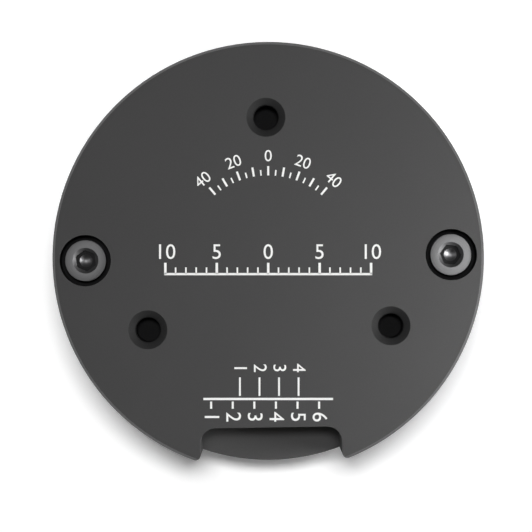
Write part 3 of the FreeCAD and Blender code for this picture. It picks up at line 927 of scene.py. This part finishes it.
@dataclass(frozen=True)
class SocketScrew:
    """Screw with a hexagonal key and a drilled hollow in the key's floor."""

    head_radius: float
    head_height: float
    head_edge: float
    shank_radius: float
    pitch: float
    key_flat: float
    key_depth: float
    mouth_radius: float
    drill_radius: float
    mouth_slope: float = 0.8
    drill_slope: float = 0.45
    drill_shares: tuple[float, ...] = (1.0, 0.8, 0.6, 0.4, 0.2)
    ledge: float = 0.01 * MM
    hex_share: float = 1.12
    thread_depth: float = 0.12 * MM
    thread_steps: int = 6
    thread_end: float = 0.3 * MM
    tip_share: float = 0.7
    neck_share: float = 0.93
    neck_length: float = 0.25 * MM
    foot: float = 0.12 * MM
    knurl_depth: float = 0.05 * MM
    knurl_foot: float = 0.2 * MM
    knurl_top: float = 0.25 * MM
    band: float = 0.15 * MM
    lowest_knurled: float = 1.2 * MM
    rounding: tuple[tuple[float, float], ...] = ((0.0, 1.0), (0.3, 0.3), (1.0, 0.0))
    segments: int = 96

    def hex_radius(self, angle: float) -> float:
        """Distance from the axis to the key's wall at an angle."""
        sixth = math.pi / 3
        return self.key_flat / math.cos((angle + sixth / 2) % sixth - sixth / 2)

    def knurl(self, angle: float) -> float:
        """Radius of the head's knurled side."""
        return self.head_radius - self.knurl_depth * (round(angle * self.segments / (2 * math.pi)) % 2)

    def thread(self, tip: float, seat: float) -> list[Ring]:
        """Rings of the threaded shank.

        Args:
            tip: level of its end.
            seat: level where the head starts.

        Returns:
            The rings from the tip up.
        """
        rings = [Ring(0.0, tip), Ring(self.shank_radius * self.tip_share, tip)]
        for step in range(1, int((seat - self.thread_end - tip) / self.pitch * self.thread_steps)):

            def ridged(angle: float, step: int = step) -> float:
                """Radius of the thread at an angle."""
                phase = (step / self.thread_steps - angle / (2 * math.pi)) % 1.0
                return self.shank_radius - self.thread_depth * abs(2 * phase - 1)

            rings.append(Ring(ridged, tip + step * self.pitch / self.thread_steps))
        neck = self.shank_radius * self.neck_share
        return rings + [Ring(neck, seat - self.neck_length), Ring(neck, seat)]

    def key(self, top: float) -> list[Ring]:
        """Rings of the hexagonal socket and the drilled hollow in its floor."""

        def rim(angle: float) -> float:
            """Level where the key's mouth meets its wall."""
            return top - self.ledge - (self.mouth_radius - self.hex_radius(angle)) * self.mouth_slope

        bottom = top - self.key_depth
        bowl = self.drill_radius * self.drill_slope
        shares = self.drill_shares
        hollow = [Ring(self.drill_radius * share, bottom + bowl * share * share) for share in shares]
        floor = Ring(self.hex_radius, bottom + bowl + self.ledge)
        return [Ring(self.mouth_radius, top), Ring(self.hex_radius, rim), floor, *hollow, Ring(0.0, bottom)]

    def head(self, top: float) -> list[Ring]:
        """Rings of the head, knurled where it is high enough."""
        seat = top - self.head_height
        radius, edge = self.head_radius, self.head_edge
        side = [Ring(radius - self.foot, seat), Ring(radius, seat + self.foot)]
        if self.head_height > self.lowest_knurled:
            side += [Ring(self.knurl, seat + self.knurl_foot), Ring(self.knurl, top - edge - self.knurl_top)]
            side.append(Ring(radius, top - edge - self.band))
        return side + [Ring(radius - edge * inward, top - edge * down) for inward, down in self.rounding]

    def form(self, tip: float, top: float, turn: float) -> Form:
        """Makes the screw about the Z axis.

        Args:
            tip: level of its end.
            top: level of its head.
            turn: turn of its key in degrees.

        Returns:
            The closed form.
        """
        form = bmesh.new()
        rings = self.thread(tip, top - self.head_height) + self.head(top) + self.key(top)
        lathe(form, rings, Vector(), self.segments)
        bmesh.ops.transform(form, matrix=Matrix.Rotation(math.radians(turn), 4, "Z"), verts=form.verts)
        return form

    def place(self, name: str, node: str, spot: Vector, turn: float) -> None:
        """Puts the screw into the motor.

        Args:
            name: name of the piece.
            node: the CAD node that it stands for, which gives its levels.
            spot: a point on its axis.
            turn: turn of its key in degrees.
        """
        low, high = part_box(node)
        form = self.form(low.z, high.z, turn)
        screw = formed(name, form, FINISHES.screw, HOUSING, [node], SCREW_SHARP)
        screw.location.x, screw.location.y = spot.x, spot.y
        # The key's walls and floor take a painted shade; its drilled hollow keeps shiny steel.
        for inner in (FINISHES.socket, FINISHES.drilled):
            screw.data.materials.append(inner.material())
        rim = (self.mouth_radius - self.key_flat) * self.mouth_slope
        for face in screw.data.polygons:
            across, deep = face.center.xy.length, high.z - face.center.z
            if across < self.key_flat * self.hex_share and rim < deep < self.key_depth + 2 * self.ledge:
                face.material_index = KeyZone.HOLLOW if across < self.drill_radius else KeyZone.WALL


@dataclass
class CoverScrews:
    """Two socket-head screws in the cover's sinks."""

    screw: SocketScrew = SocketScrew(
        head_radius=2.0 * MM, head_height=2.0 * MM, head_edge=0.05 * MM, shank_radius=1.0 * MM,
        pitch=0.4 * MM, key_flat=0.92 * MM, key_depth=1.1 * MM, mouth_radius=1.26 * MM,
        drill_radius=0.62 * MM, mouth_slope=1.1, drill_slope=0.4,
    )
    left_turn: float = 6.0
    right_turn: float = 22.0

    def build(self) -> None:
        """Makes each screw as a piece about its own axis."""
        spot = Vector((SINK_CIRCLE, 0.0, 0.0))
        self.screw.place("cover_screw_left", "cover_screws", -spot, self.left_turn)
        self.screw.place("cover_screw_right", "cover_screws", spot, self.right_turn)


# Motor

@dataclass
class Winding:
    """Twelve coils of round wire, each wound in rows about its tooth."""

    count: int = 12
    wire: float = 0.56 * MM
    bend: float = 0.7 * MM
    tightest: float = 0.95
    corner_steps: int = 4
    wire_sides: int = 8
    layers: int = 2
    layer_share: float = 0.86

    def loop(self, distance: float, half_width: float, half_height: float, middle: float) -> list[Vector]:
        """Centreline of one turn, square to the tooth along +X.

        Args:
            distance: its place along the tooth.
            half_width: half its width.
            half_height: half its height.
            middle: level of the tooth.

        Returns:
            Its points in order.
        """
        points = []
        bend = min(self.bend, half_width * self.tightest)
        for quarter in range(4):
            side_y = 1 if quarter in (0, 3) else -1
            side_z = 1 if quarter in (0, 1) else -1
            for step in range(self.corner_steps + 1):
                angle = math.radians(90 * (quarter + step / self.corner_steps))
                across = side_y * (half_width - bend) + bend * math.cos(angle)
                up = side_z * (half_height - bend) + bend * math.sin(angle)
                points.append(Vector((distance, across, middle + up)))
        return points

    def sweep(self, form: Form, path: Sequence[Vector], turn: Matrix) -> None:
        """Adds a closed round wire along a path that lies square to the tooth.

        Args:
            form: the bmesh to add to.
            path: its centreline.
            turn: rotation to the coil's own tooth.
        """
        centre = sum(path, Vector()) / len(path)
        rows = []
        for index, spot in enumerate(path):
            along = (path[(index + 1) % len(path)] - path[index - 1]).normalized()
            out = Vector((1.0, 0.0, 0.0)).cross(along).normalized()
            if out.dot(spot - centre) < 0:
                out.negate()
            row = []
            for side in range(self.wire_sides):
                angle = 2 * math.pi * side / self.wire_sides
                offset = out * math.cos(angle) + Vector((math.sin(angle), 0.0, 0.0))
                row.append(form.verts.new(turn @ (spot + offset * self.wire / 2)))
            rows.append(row)
        for row, following in zip(rows, rows[1:] + rows[:1]):
            bridge(form, row, following)

    def coil(self, number: int) -> None:
        """Makes the coil with one number.

        Args:
            number: its number, from 1, counted from +X.
        """
        name = f"coil_{number:02d}"
        turn = Matrix.Rotation(2 * math.pi * (number - 1) / self.count, 4, "Z")
        low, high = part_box("coil_01")
        length, half_height, middle = high.x - low.x, (high.z - low.z) / 2, (high.z + low.z) / 2
        slope = math.tan(math.pi / self.count)
        turns = int(length / self.wire)
        form = bmesh.new()
        for layer in range(self.layers):
            inset = self.wire * (0.5 + self.layer_share * layer)
            shift = self.wire / 2 * layer
            for index in range(turns - layer):
                distance = low.x + length * (index + 0.5) / turns + shift
                half_width = high.y - (high.x - distance) * slope - inset
                self.sweep(form, self.loop(distance, half_width, half_height - inset, middle), turn)
        formed(f"{name}_turns", form, FINISHES.copper, HOUSING, [name], THREAD_SHARP)

    def build(self) -> None:
        """Makes every coil."""
        for number in range(1, self.count + 1):
            self.coil(number)


@dataclass
class Bearings:
    """Two deep-groove bearings with a pressed shield in each face of the outer ring."""

    lip_share: float = 0.72
    gap: float = 0.1 * MM
    sink: float = 0.16 * MM
    bead: float = 0.05 * MM
    bead_start: float = 0.15 * MM
    bead_end: float = 0.25 * MM
    crimp: float = 0.1 * MM
    lip_edge: float = 0.03 * MM
    corner: float = 0.12 * MM
    segments: int = 96

    def profile(self, inner: float, outer: float, half: float) -> Profile:
        """Radius and level of the upper face, from the inside out.

        Args:
            inner: radius of the shield's bore.
            outer: radius of the ring.
            half: half the bearing's width.

        Returns:
            The corners in order.
        """
        lip = inner + (outer - inner) * self.lip_share
        sunk = half - self.sink
        return [
            (inner, sunk), (inner + self.bead_start, sunk + self.bead),
            (lip - self.bead_end, sunk + self.bead), (lip - self.crimp, sunk),
            (lip, sunk), (lip, half - self.lip_edge), (lip + self.lip_edge, half),
            (outer - self.corner, half), (outer, half - self.corner),
        ]

    def build(self) -> None:
        """Makes each outer ring with its shields."""
        for side in ("front", "rear"):
            node = f"{side}_bearing_outer_ring"
            low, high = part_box(node)
            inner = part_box(f"{side}_bearing_inner_ring")[1].x + self.gap
            upper = self.profile(inner, high.x, (high.z - low.z) / 2)
            lower = [(radius, -level) for radius, level in upper[::-1]]
            form = bmesh.new()
            collar(form, Vector((0.0, 0.0, (low.z + high.z) / 2)), upper + lower, self.segments)
            name = f"{side}_bearing_shielded"
            formed(name, form, FINISHES.bearing, HOUSING, [node], RING_SHARP)


@dataclass
class Shaft:
    """Ground shaft with a centre hole, a groove for the retaining ring and the sensor magnet's pocket."""

    centre_radius: float = 0.5 * MM
    centre_depth: float = 0.8 * MM
    corner: float = 0.12 * MM
    groove_depth: float = 0.2 * MM
    segments: int = 128

    def build(self) -> None:
        """Makes the shaft as a turned form."""
        low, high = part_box("shaft")
        ring_low, ring_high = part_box("retaining_ring")
        magnet_low, magnet_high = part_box("sensor_magnet")
        radius, pocket = high.x, magnet_high.x
        groove = radius - self.groove_depth
        form = bmesh.new()
        collar(form, Vector(), [
            (0.0, low.z + self.centre_depth), (self.centre_radius, low.z),
            (radius - self.corner, low.z), (radius, low.z + self.corner),
            (radius, ring_low.z), (groove, ring_low.z), (groove, ring_high.z), (radius, ring_high.z),
            (radius, high.z - self.corner), (radius - self.corner, high.z),
            (pocket, high.z), (pocket, magnet_low.z), (0.0, magnet_low.z),
        ], self.segments)
        formed("ground_shaft", form, FINISHES.bearing, ROTOR, ["shaft"], RING_SHARP)


@dataclass
class Motor:
    """Stator and rotor below the cover."""

    magnets: int = 14
    output_circle: float = 10.0 * MM
    output_angles: tuple[float, ...] = (45.0, 135.0, 225.0, 315.0)
    output_tap: Tap = Tap(1.03 * MM, 0.45 * MM)
    output_low: float = 0.2 * MM
    output_high: float = 2.3 * MM
    winding: Winding = field(default_factory=Winding)
    bearings: Bearings = field(default_factory=Bearings)
    shaft: Shaft = field(default_factory=Shaft)

    def output_threads(self) -> None:
        """Makes the threads of the output face's holes."""
        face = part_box("rotor_bell")[0].z
        form = bmesh.new()
        for angle in self.output_angles:
            spot = polar(self.output_circle, angle)
            self.output_tap.thread(form, spot, face + self.output_low, face + self.output_high)
        # The output threads are painted dark as shade, like the cover's bores.
        formed("output_threads", form, FINISHES.bore, ROTOR, sharp=THREAD_SHARP)

    def build(self) -> None:
        """Dresses the rotor and the stator, and makes the pieces that stand for their nodes."""
        # The stator base takes the lighter copy of the anodising: painted light that lifts its ledge where
        # the notch walls shade it.
        dress(["stator_base"], FINISHES.base, EDGE)
        dress(["rotor_bell"], FINISHES.turned, EDGE)
        dress(["flux_ring"], FINISHES.flux, EDGE)
        dress([f"magnet_{number:02d}" for number in range(1, self.magnets + 1)], FINISHES.nickel, WIDE_EDGE)
        dress(["sensor_magnet"], FINISHES.nickel, EDGE)
        self.shaft.build()
        dress(["retaining_ring"], FINISHES.screw, SHEET_EDGE)
        dress(["front_bearing_inner_ring", "rear_bearing_inner_ring"], FINISHES.bearing, NARROW_EDGE)
        self.bearings.build()
        self.output_threads()
        dress(["preload_spring"], FINISHES.bearing, SHEET_EDGE)
        dress(["stator_core"], FINISHES.sheets)
        dress(["front_insulator", "rear_insulator"], FINISHES.nylon, NARROW_EDGE)
        dress(["phase_leads"], FINISHES.copper)
        self.winding.build()


# Driver board

@dataclass(frozen=True)
class Package:
    """Leadless package: its node, the pads on each side, and how many stand in a row at what pitch."""

    node: str
    pads: int
    row: int = 1
    pitch: float = 0.0

    def boxes(self) -> list[tuple[Vector, Vector]]:
        """Low and high corner of each package in the row."""
        low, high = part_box(self.node)
        steps = [Vector((index * self.pitch, 0.0, 0.0)) for index in range(self.row)]
        shorter = Vector(((self.row - 1) * self.pitch, 0.0, 0.0))
        return [(low + step, high - shorter + step) for step in steps]


@dataclass(frozen=True)
class Fan:
    """Tracks that leave one side of a package: how many there are, and the longest one's reach."""

    node: str
    side: Side
    tracks: int
    longest: float


@dataclass
class DriverBoard:
    """Board with its plug headers, packages, tracks and solder."""

    packages: tuple[Package, ...] = (
        Package("controller_chip", 12),
        Package("gate_driver_chip", 7),
        Package("transceiver_chip", 4),
        Package("power_stage_chips", 4, 3, 6.0 * MM),
        Package("encoder_chip", 4),
    )
    capacitors: Package = Package("board_capacitors", 0, 4, 4.2 * MM)
    screw: SocketScrew = SocketScrew(
        head_radius=1.5 * MM, head_height=0.9 * MM, head_edge=0.4 * MM, shank_radius=0.8 * MM,
        pitch=0.35 * MM, key_flat=0.65 * MM, key_depth=0.5 * MM, mouth_radius=0.8 * MM,
        drill_radius=0.3 * MM, segments=48,
    )
    screw_circle: float = BOARD_HIGH.x - BOARD_SCREW_INSET
    screw_angles: tuple[float, ...] = (50.0, 130.0, 230.0, 310.0)
    ring_inside: float = 0.1 * MM
    ring_outside: float = 0.35 * MM
    ring_height: float = 0.015 * MM
    ring_segments: int = 48
    lead_angles: tuple[float, ...] = (60.0, 90.0, 120.0)
    lead_radius: float = 0.45 * MM
    fillet: tuple[tuple[float, float], ...] = (
        (-0.02 * MM, 0.0), (-0.02 * MM, 0.2 * MM), (0.06 * MM, 0.17 * MM), (0.16 * MM, 0.07 * MM),
        (0.36 * MM, 0.012 * MM),
    )
    pad_row: float = 0.88
    pad_share: float = 0.55
    pad_reach: float = 0.12 * MM
    pad_height: float = 0.06 * MM
    pad_edge: float = 0.02 * MM
    end_width: float = 0.55 * MM
    end_skin: float = 0.012 * MM
    dot_place: float = 0.24
    dot_share: float = 0.05
    dot_least: float = 0.05 * MM
    dot_height: float = 0.006 * MM
    dot_depth: float = 0.01 * MM
    dot_segments: int = 20
    fans: tuple[Fan, ...] = (
        Fan("controller_chip", Side.LEFT, 12, 3.0 * MM),
        Fan("controller_chip", Side.BACK, 12, 1.6 * MM),
        Fan("controller_chip", Side.FRONT, 12, 1.6 * MM),
        Fan("gate_driver_chip", Side.RIGHT, 7, 1.8 * MM),
        Fan("transceiver_chip", Side.RIGHT, 4, 2.6 * MM),
        Fan("buck_choke", Side.RIGHT, 4, 3.2 * MM),
    )
    track_width: float = 0.16 * MM
    track_height: float = 0.02 * MM
    track_start: float = 0.3 * MM
    track_end: float = 0.5 * MM
    track_spread: float = 0.1
    track_shares: tuple[float, float, float] = (0.45, 0.4, 0.15)
    via_radius: float = 0.24 * MM
    via_rise: float = 0.008 * MM
    via_segments: int = 16
    seed: int = 7

    def pads(self) -> None:
        """Makes the solder at the foot of each package."""
        form = bmesh.new()
        for package in self.packages:
            for low, high in package.boxes():
                below = high.z < BOARD_HIGH.z
                level = high.z - self.pad_height / 2 if below else low.z + self.pad_height / 2
                middle, width = (low + high) / 2, high.x - low.x
                step = width * self.pad_row / package.pads
                wide = step * self.pad_share
                for side in Side:
                    thicker = Vector(map(abs, side.out)) * self.pad_reach
                    size = Vector((wide, wide, self.pad_height)) + thicker
                    reach = width / 2 + self.pad_reach - (wide + self.pad_reach) / 2
                    for index in range(package.pads):
                        away = (index - (package.pads - 1) / 2) * step
                        spot = middle + side.out * reach + side.along * away
                        slab(form, Vector((spot.x, spot.y, level)), size)
        soften(formed("package_pads", form, FINISHES.tin, HOUSING), self.pad_edge, 1)

    def solder(self) -> None:
        """Makes the solder round the leads, and the bare rings under the board screws."""
        form = bmesh.new()
        lead_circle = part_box("phase_leads")[1].y - self.lead_radius
        fillet = [(self.lead_radius + away, rise) for away, rise in self.fillet]
        for angle in self.lead_angles:
            collar(form, polar(lead_circle, angle, BOARD_HIGH.z), fillet)
        head = self.screw.head_radius
        ring = flat_ring(head - self.ring_inside, head + self.ring_outside, self.ring_height)
        for angle in self.screw_angles:
            collar(form, polar(self.screw_circle, angle, BOARD_HIGH.z), ring, self.ring_segments)
        formed("board_solder", form, FINISHES.tin, HOUSING)

    def capacitor_ends(self) -> None:
        """Makes the tinned ends of the capacitors."""
        form = bmesh.new()
        skin = self.end_skin
        for low, high in self.capacitors.boxes():
            size = Vector((high.x - low.x + 2 * skin, self.end_width, high.z - low.z + skin))
            for edge, inward in ((low.y, 1), (high.y, -1)):
                across = edge + inward * (self.end_width / 2 - skin)
                slab(form, Vector(((low.x + high.x) / 2, across, low.z + size.z / 2)), size)
        soften(formed("capacitor_ends", form, FINISHES.tin, HOUSING), PIN_EDGE)

    def dots(self) -> None:
        """Makes the round mark at the first pin of each package on the upper face."""
        form = bmesh.new()
        up, down = self.dot_height, -self.dot_depth
        for package in self.packages[:-1]:
            for low, high in package.boxes():
                width = high.x - low.x
                radius = self.dot_share * width + self.dot_least
                spot = Vector((low.x, high.y, high.z)) + Vector((1.0, -1.0, 0.0)) * self.dot_place * width
                profile = [(0.0, up), (radius, up), (radius, down), (0.0, down)]
                collar(form, spot, profile, self.dot_segments)
        formed("package_dots", form, FINISHES.print_white, HOUSING)

    def tracks(self) -> None:
        """Makes the tracks that leave the packages, each ending in a plated hole."""
        chance = random.Random(self.seed)
        copper, rings = bmesh.new(), bmesh.new()
        low_face, high_face = BOARD_HIGH.z, BOARD_HIGH.z + self.track_height
        ring = flat_ring(self.via_radius / 2, self.via_radius, self.track_height + self.via_rise)
        least, stagger, wander = self.track_shares
        for fan in self.fans:
            low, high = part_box(fan.node)
            out, along, width = fan.side.out, fan.side.along, high.x - low.x
            pitch = width * self.pad_row / fan.tracks
            start = (low + high) / 2 + out * (width / 2 + self.pad_reach / 2)
            for index in range(fan.tracks):
                away = (index - (fan.tracks - 1) / 2) * pitch
                reach = fan.longest * (least + stagger * (index % 2) + wander * chance.random())
                first = start + along * away
                bend = first + out * self.track_start + along * away * self.track_spread
                last = bend + out * (reach - self.track_end)
                ribbon(copper, [first, bend, last], self.track_width, low_face, high_face)
                collar(rings, Vector((last.x, last.y, low_face)), ring, self.via_segments)
        formed("board_tracks", copper, FINISHES.track, HOUSING)
        formed("board_vias", rings, FINISHES.tin, HOUSING)

    def build(self) -> None:
        """Dresses the board and makes what is soldered and screwed to it."""
        dress(["driver_board"], FINISHES.laminate)
        for side in ("power", "signal"):
            dress([f"{side}_header"], FINISHES.header, NARROW_EDGE)
            dress([f"{side}_header_pins"], FINISHES.tin, PIN_EDGE)
        dress([package.node for package in self.packages], FINISHES.package, NARROW_EDGE)
        dress(["board_capacitors"], FINISHES.ceramic, EDGE)
        dress(["buck_choke"], FINISHES.ferrite, EDGE)
        for number, angle in enumerate(self.screw_angles, 1):
            spot = polar(self.screw_circle, angle)
            self.screw.place(f"board_screw_{number}", "board_screws", spot, angle)
        self.pads()
        self.solder()
        self.capacitor_ends()
        self.dots()
        self.tracks()


# Picture

@dataclass(frozen=True)
class Lamp:
    """Oval lamp: its place, its width and height, its power in watts, and whether dull surfaces show it."""

    name: str
    place: Point
    size: tuple[float, float]
    power: float
    lights_dull: bool = False


@dataclass
class Studio:
    """Floor, light and camera of the picture."""

    lamps: tuple[Lamp, ...] = (
        Lamp("key", (0.003, 0.063, 0.60), (0.115, 0.055), 2.5, True),
        Lamp("sheen_low", (0.070, -0.020, 0.055), (0.03, 0.06), 0.33),
        Lamp("sheen_right", (0.088, -0.006, 0.105), (0.05, 0.07), 0.16),
        Lamp("sheen_left", (-0.085, 0.0, 0.11), (0.04, 0.06), 0.045),
    )
    tilt: float = -0.95
    height: float = 0.2734
    lens: float = 173.6
    sensor: float = 36.0
    aim_right: float = -0.215 * MM
    aim_up: float = -0.813 * MM
    near: float = 0.01
    far: float = 5.0
    floor_size: float = 3.0
    floor_level: float = -0.05 * MM
    floor_colour: float = 0.8
    floor_roughness: float = 0.9
    seen_floor: float = 1.17
    zenith: float = 0.14
    horizon: float = 1.0
    sky_height: float = 0.6

    def camera(self) -> None:
        """Sets the camera straight above the cover."""
        data = bpy.data.cameras.new("picture")
        data.lens = self.lens
        data.sensor_width = self.sensor
        data.clip_start = self.near
        data.clip_end = self.far
        camera = added("picture", data)
        turn = math.radians(self.tilt)
        right = Vector((math.cos(turn), math.sin(turn), 0.0))
        up = Vector((-math.sin(turn), math.cos(turn), 0.0))
        camera.location = right * self.aim_right + up * self.aim_up + Vector((0.0, 0.0, self.height))
        camera.rotation_euler = (0.0, 0.0, turn)
        bpy.context.scene.camera = camera

    def lamp(self, lamp: Lamp) -> None:
        """Hangs one lamp that faces the motor."""
        data = bpy.data.lights.new(lamp.name, "AREA")
        data.shape = "ELLIPSE"
        data.size, data.size_y = lamp.size
        data.energy = lamp.power
        holder = added(lamp.name, data)
        holder.location = lamp.place
        aim = Vector((0.0, 0.0, TOP)) - Vector(lamp.place)
        holder.rotation_euler = aim.to_track_quat("-Z", "Y").to_euler()
        holder.visible_diffuse = lamp.lights_dull

    def floor(self) -> None:
        """Adds the pale floor, which looks white where the light is open."""
        form = bmesh.new()
        bmesh.ops.create_grid(form, x_segments=1, y_segments=1, size=self.floor_size)
        bmesh.ops.translate(form, verts=form.verts, vec=(0.0, 0.0, self.floor_level))
        mesh = bpy.data.meshes.new("floor")
        form.to_mesh(mesh)
        form.free()
        ground = added("floor", mesh)
        material = bpy.data.materials.new("pale_floor")
        material.use_nodes = True
        tools = Tree(material.node_tree)
        shader = material.node_tree.nodes["Principled BSDF"]
        shader.inputs["Roughness"].default_value = self.floor_roughness
        shader.inputs["Specular IOR Level"].default_value = 0.0
        seen = tools.add("ShaderNodeLightPath").outputs["Is Camera Ray"]
        dull, bright = [(level, level, level, 1.0) for level in (self.floor_colour, self.seen_floor)]
        tools.tree.links.new(tools.mix(seen, dull, bright), shader.inputs["Base Color"])
        mesh.materials.append(material)

    def surroundings(self) -> None:
        """Lights the scene evenly, with a white background."""
        world = bpy.data.worlds.new("studio")
        world.use_nodes = True
        bpy.context.scene.world = world
        tools = Tree(world.node_tree)
        background = world.node_tree.nodes["Background"]
        path = tools.add("ShaderNodeLightPath")
        place = tools.add("ShaderNodeTexCoord").outputs["Generated"]
        height = tools.math("ABSOLUTE", tools.add("ShaderNodeSeparateXYZ", {0: place}).outputs[2])
        around = tools.remap(height, 0.0, self.sky_height, self.horizon, self.zenith)
        seen = {0: path.outputs["Is Camera Ray"], 2: around, 3: 1.0}
        strength = tools.add("ShaderNodeMix", seen).outputs[0]
        background.inputs["Color"].default_value = (1.0, 1.0, 1.0, 1.0)
        tools.tree.links.new(strength, background.inputs["Strength"])

    def build(self) -> None:
        """Sets up the picture."""
        bpy.context.scene.view_settings.view_transform = "Standard"
        self.camera()
        self.floor()
        self.surroundings()
        for lamp in self.lamps:
            self.lamp(lamp)
        log.info("picture: camera, floor and lamps")


def main() -> None:
    """Builds the picture and dresses every part of the motor."""
    Studio().build()
    RearCover().build()
    CoverScrews().build()
    Motor().build()
    DriverBoard().build()


if __name__ == "__main__":
    main()
